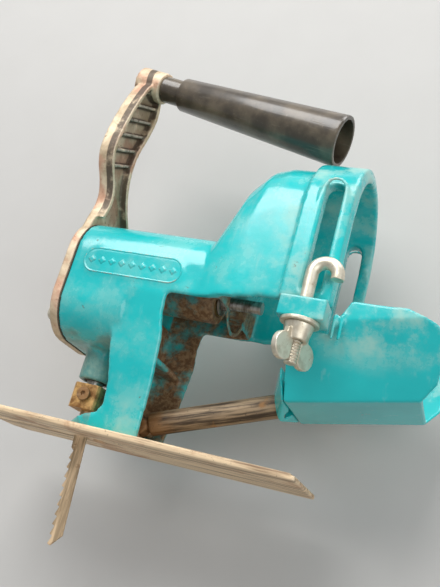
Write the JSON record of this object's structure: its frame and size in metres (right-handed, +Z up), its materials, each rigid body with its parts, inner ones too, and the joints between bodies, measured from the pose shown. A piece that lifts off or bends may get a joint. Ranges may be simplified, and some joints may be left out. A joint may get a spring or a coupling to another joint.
{
  "type": "jigsaw attachment for an electric drill",
  "caption": "Drill-driven jigsaw attachment: gear head with leg and shoe, saw blade on a reciprocating plunger, arched shroud and clamped cradle for the drill, and a side grip",
  "frame": {"origin": "middle of the recess that takes the drill's nose, on the drive axis", "axes": "+X along the drive axis to the drill, -X the way the saw cuts, +Z up away from the blade"},
  "size_m": [0.2075, 0.1112, 0.2468],
  "materials": {
    "casting": "gloss enamel, worn, dusty and stained",
    "bare_alloy": "bare die casting, dirty and stained",
    "grip_plastic": "glossy black-brown plastic, scratched",
    "zinc": "tarnished zinc plate",
    "steel": "machined steel, oily",
    "rusty_steel": "bare steel, brown with rust",
    "blade_steel": "worn saw steel",
    "bronze": "sintered bronze",
    "clamp_metal": "brassy, rust stained",
    "sheet_paint": "gloss enamel on pressed steel, dusty",
    "gasket": "oily fibre",
    "felt": "oily felt"
  },
  "bodies": {
    "housing": {"body_casting": "casting", "neck_screw": "zinc", "front_cover": "bare_alloy", "cover_gasket": "gasket", "cover_screws": "zinc", "grip": "grip_plastic", "grip_bolt": "zinc", "grip_nut": "zinc", "front_bush": "bronze", "rear_bush": "bronze", "upper_plunger_bush": "bronze", "lower_plunger_bush": "bronze", "plunger_felt": "felt", "shoe": "rusty_steel", "shoe_screws": "rusty_steel", "pivot_pin": "rusty_steel"},
    "drive": {"drive_shaft": "steel", "crank_disc": "steel", "crank_pin": "steel", "crank_roller": "bronze", "thrust_washer": "bronze", "shaft_clip": "steel"},
    "plunger": {"plunger_rod": "steel", "yoke": "steel", "blade_clamp": "clamp_metal", "saw_blade": "blade_steel"},
    "clamp_screw_body": {"clamp_screw": "rusty_steel"},
    "cradle": {"cradle_hood": "sheet_paint", "air_tube": "rusty_steel", "tube_funnel": "sheet_paint"},
    "hook_left": {"hook_bolt_left": "zinc"},
    "washer_body_left": {"washer_left": "zinc"},
    "nut_left": {"wing_nut_left": "zinc"},
    "hook_right": {"hook_bolt_right": "zinc"},
    "washer_body_right": {"washer_right": "zinc"},
    "nut_right": {"wing_nut_right": "zinc"}
  },
  "joints": [
    {"name": "drive_spin", "type": "hinge", "parent": "housing", "child": "drive", "pos_m": [0, 0, 0], "axis": [1, 0, 0], "range_deg": [0, 180]},
    {"name": "plunger_stroke", "type": "slide", "parent": "housing", "child": "plunger", "axis": [0, 0, -1], "range_m": [0, 0.009]},
    {"name": "clamp_screw_turn", "type": "hinge", "parent": "plunger", "child": "clamp_screw_body", "pos_m": [-0.0555, -0.005, -0.0583], "axis": [0, -1, 0], "range_deg": [0, 360]},
    {"name": "cradle_swing", "type": "hinge", "parent": "housing", "child": "cradle", "pos_m": [-0.027, 0, -0.0662], "axis": [0, 1, 0], "range_deg": [0, 8]},
    {"name": "hook_slide_left", "type": "slide", "parent": "cradle", "child": "hook_left", "axis": [0, 0, -1], "range_m": [0, 0.006]},
    {"name": "washer_slide_left", "type": "slide", "parent": "hook_left", "child": "washer_body_left", "axis": [0, 0, -1], "range_m": [0, 0.00254]},
    {"name": "nut_turn_left", "type": "hinge", "parent": "washer_body_left", "child": "nut_left", "pos_m": [0.0465, -0.0435, -0.022], "axis": [0, 0, -1], "range_deg": [0, 720]},
    {"name": "hook_slide_right", "type": "slide", "parent": "cradle", "child": "hook_right", "axis": [0, 0, -1], "range_m": [0, 0.006]},
    {"name": "washer_slide_right", "type": "slide", "parent": "hook_right", "child": "washer_body_right", "axis": [0, 0, -1], "range_m": [0, 0.00254]},
    {"name": "nut_turn_right", "type": "hinge", "parent": "washer_body_right", "child": "nut_right", "pos_m": [0.0465, 0.0435, -0.022], "axis": [0, 0, -1], "range_deg": [0, 720]}
  ],
  "couplings": [
    {"joint": "drive_spin", "follows": "plunger_stroke", "rad_per_m": 349.07},
    {"joint": "washer_slide_left", "follows": "nut_turn_left", "m_per_rad": 0.00020213},
    {"joint": "washer_slide_right", "follows": "nut_turn_right", "m_per_rad": 0.00020213}
  ]
}
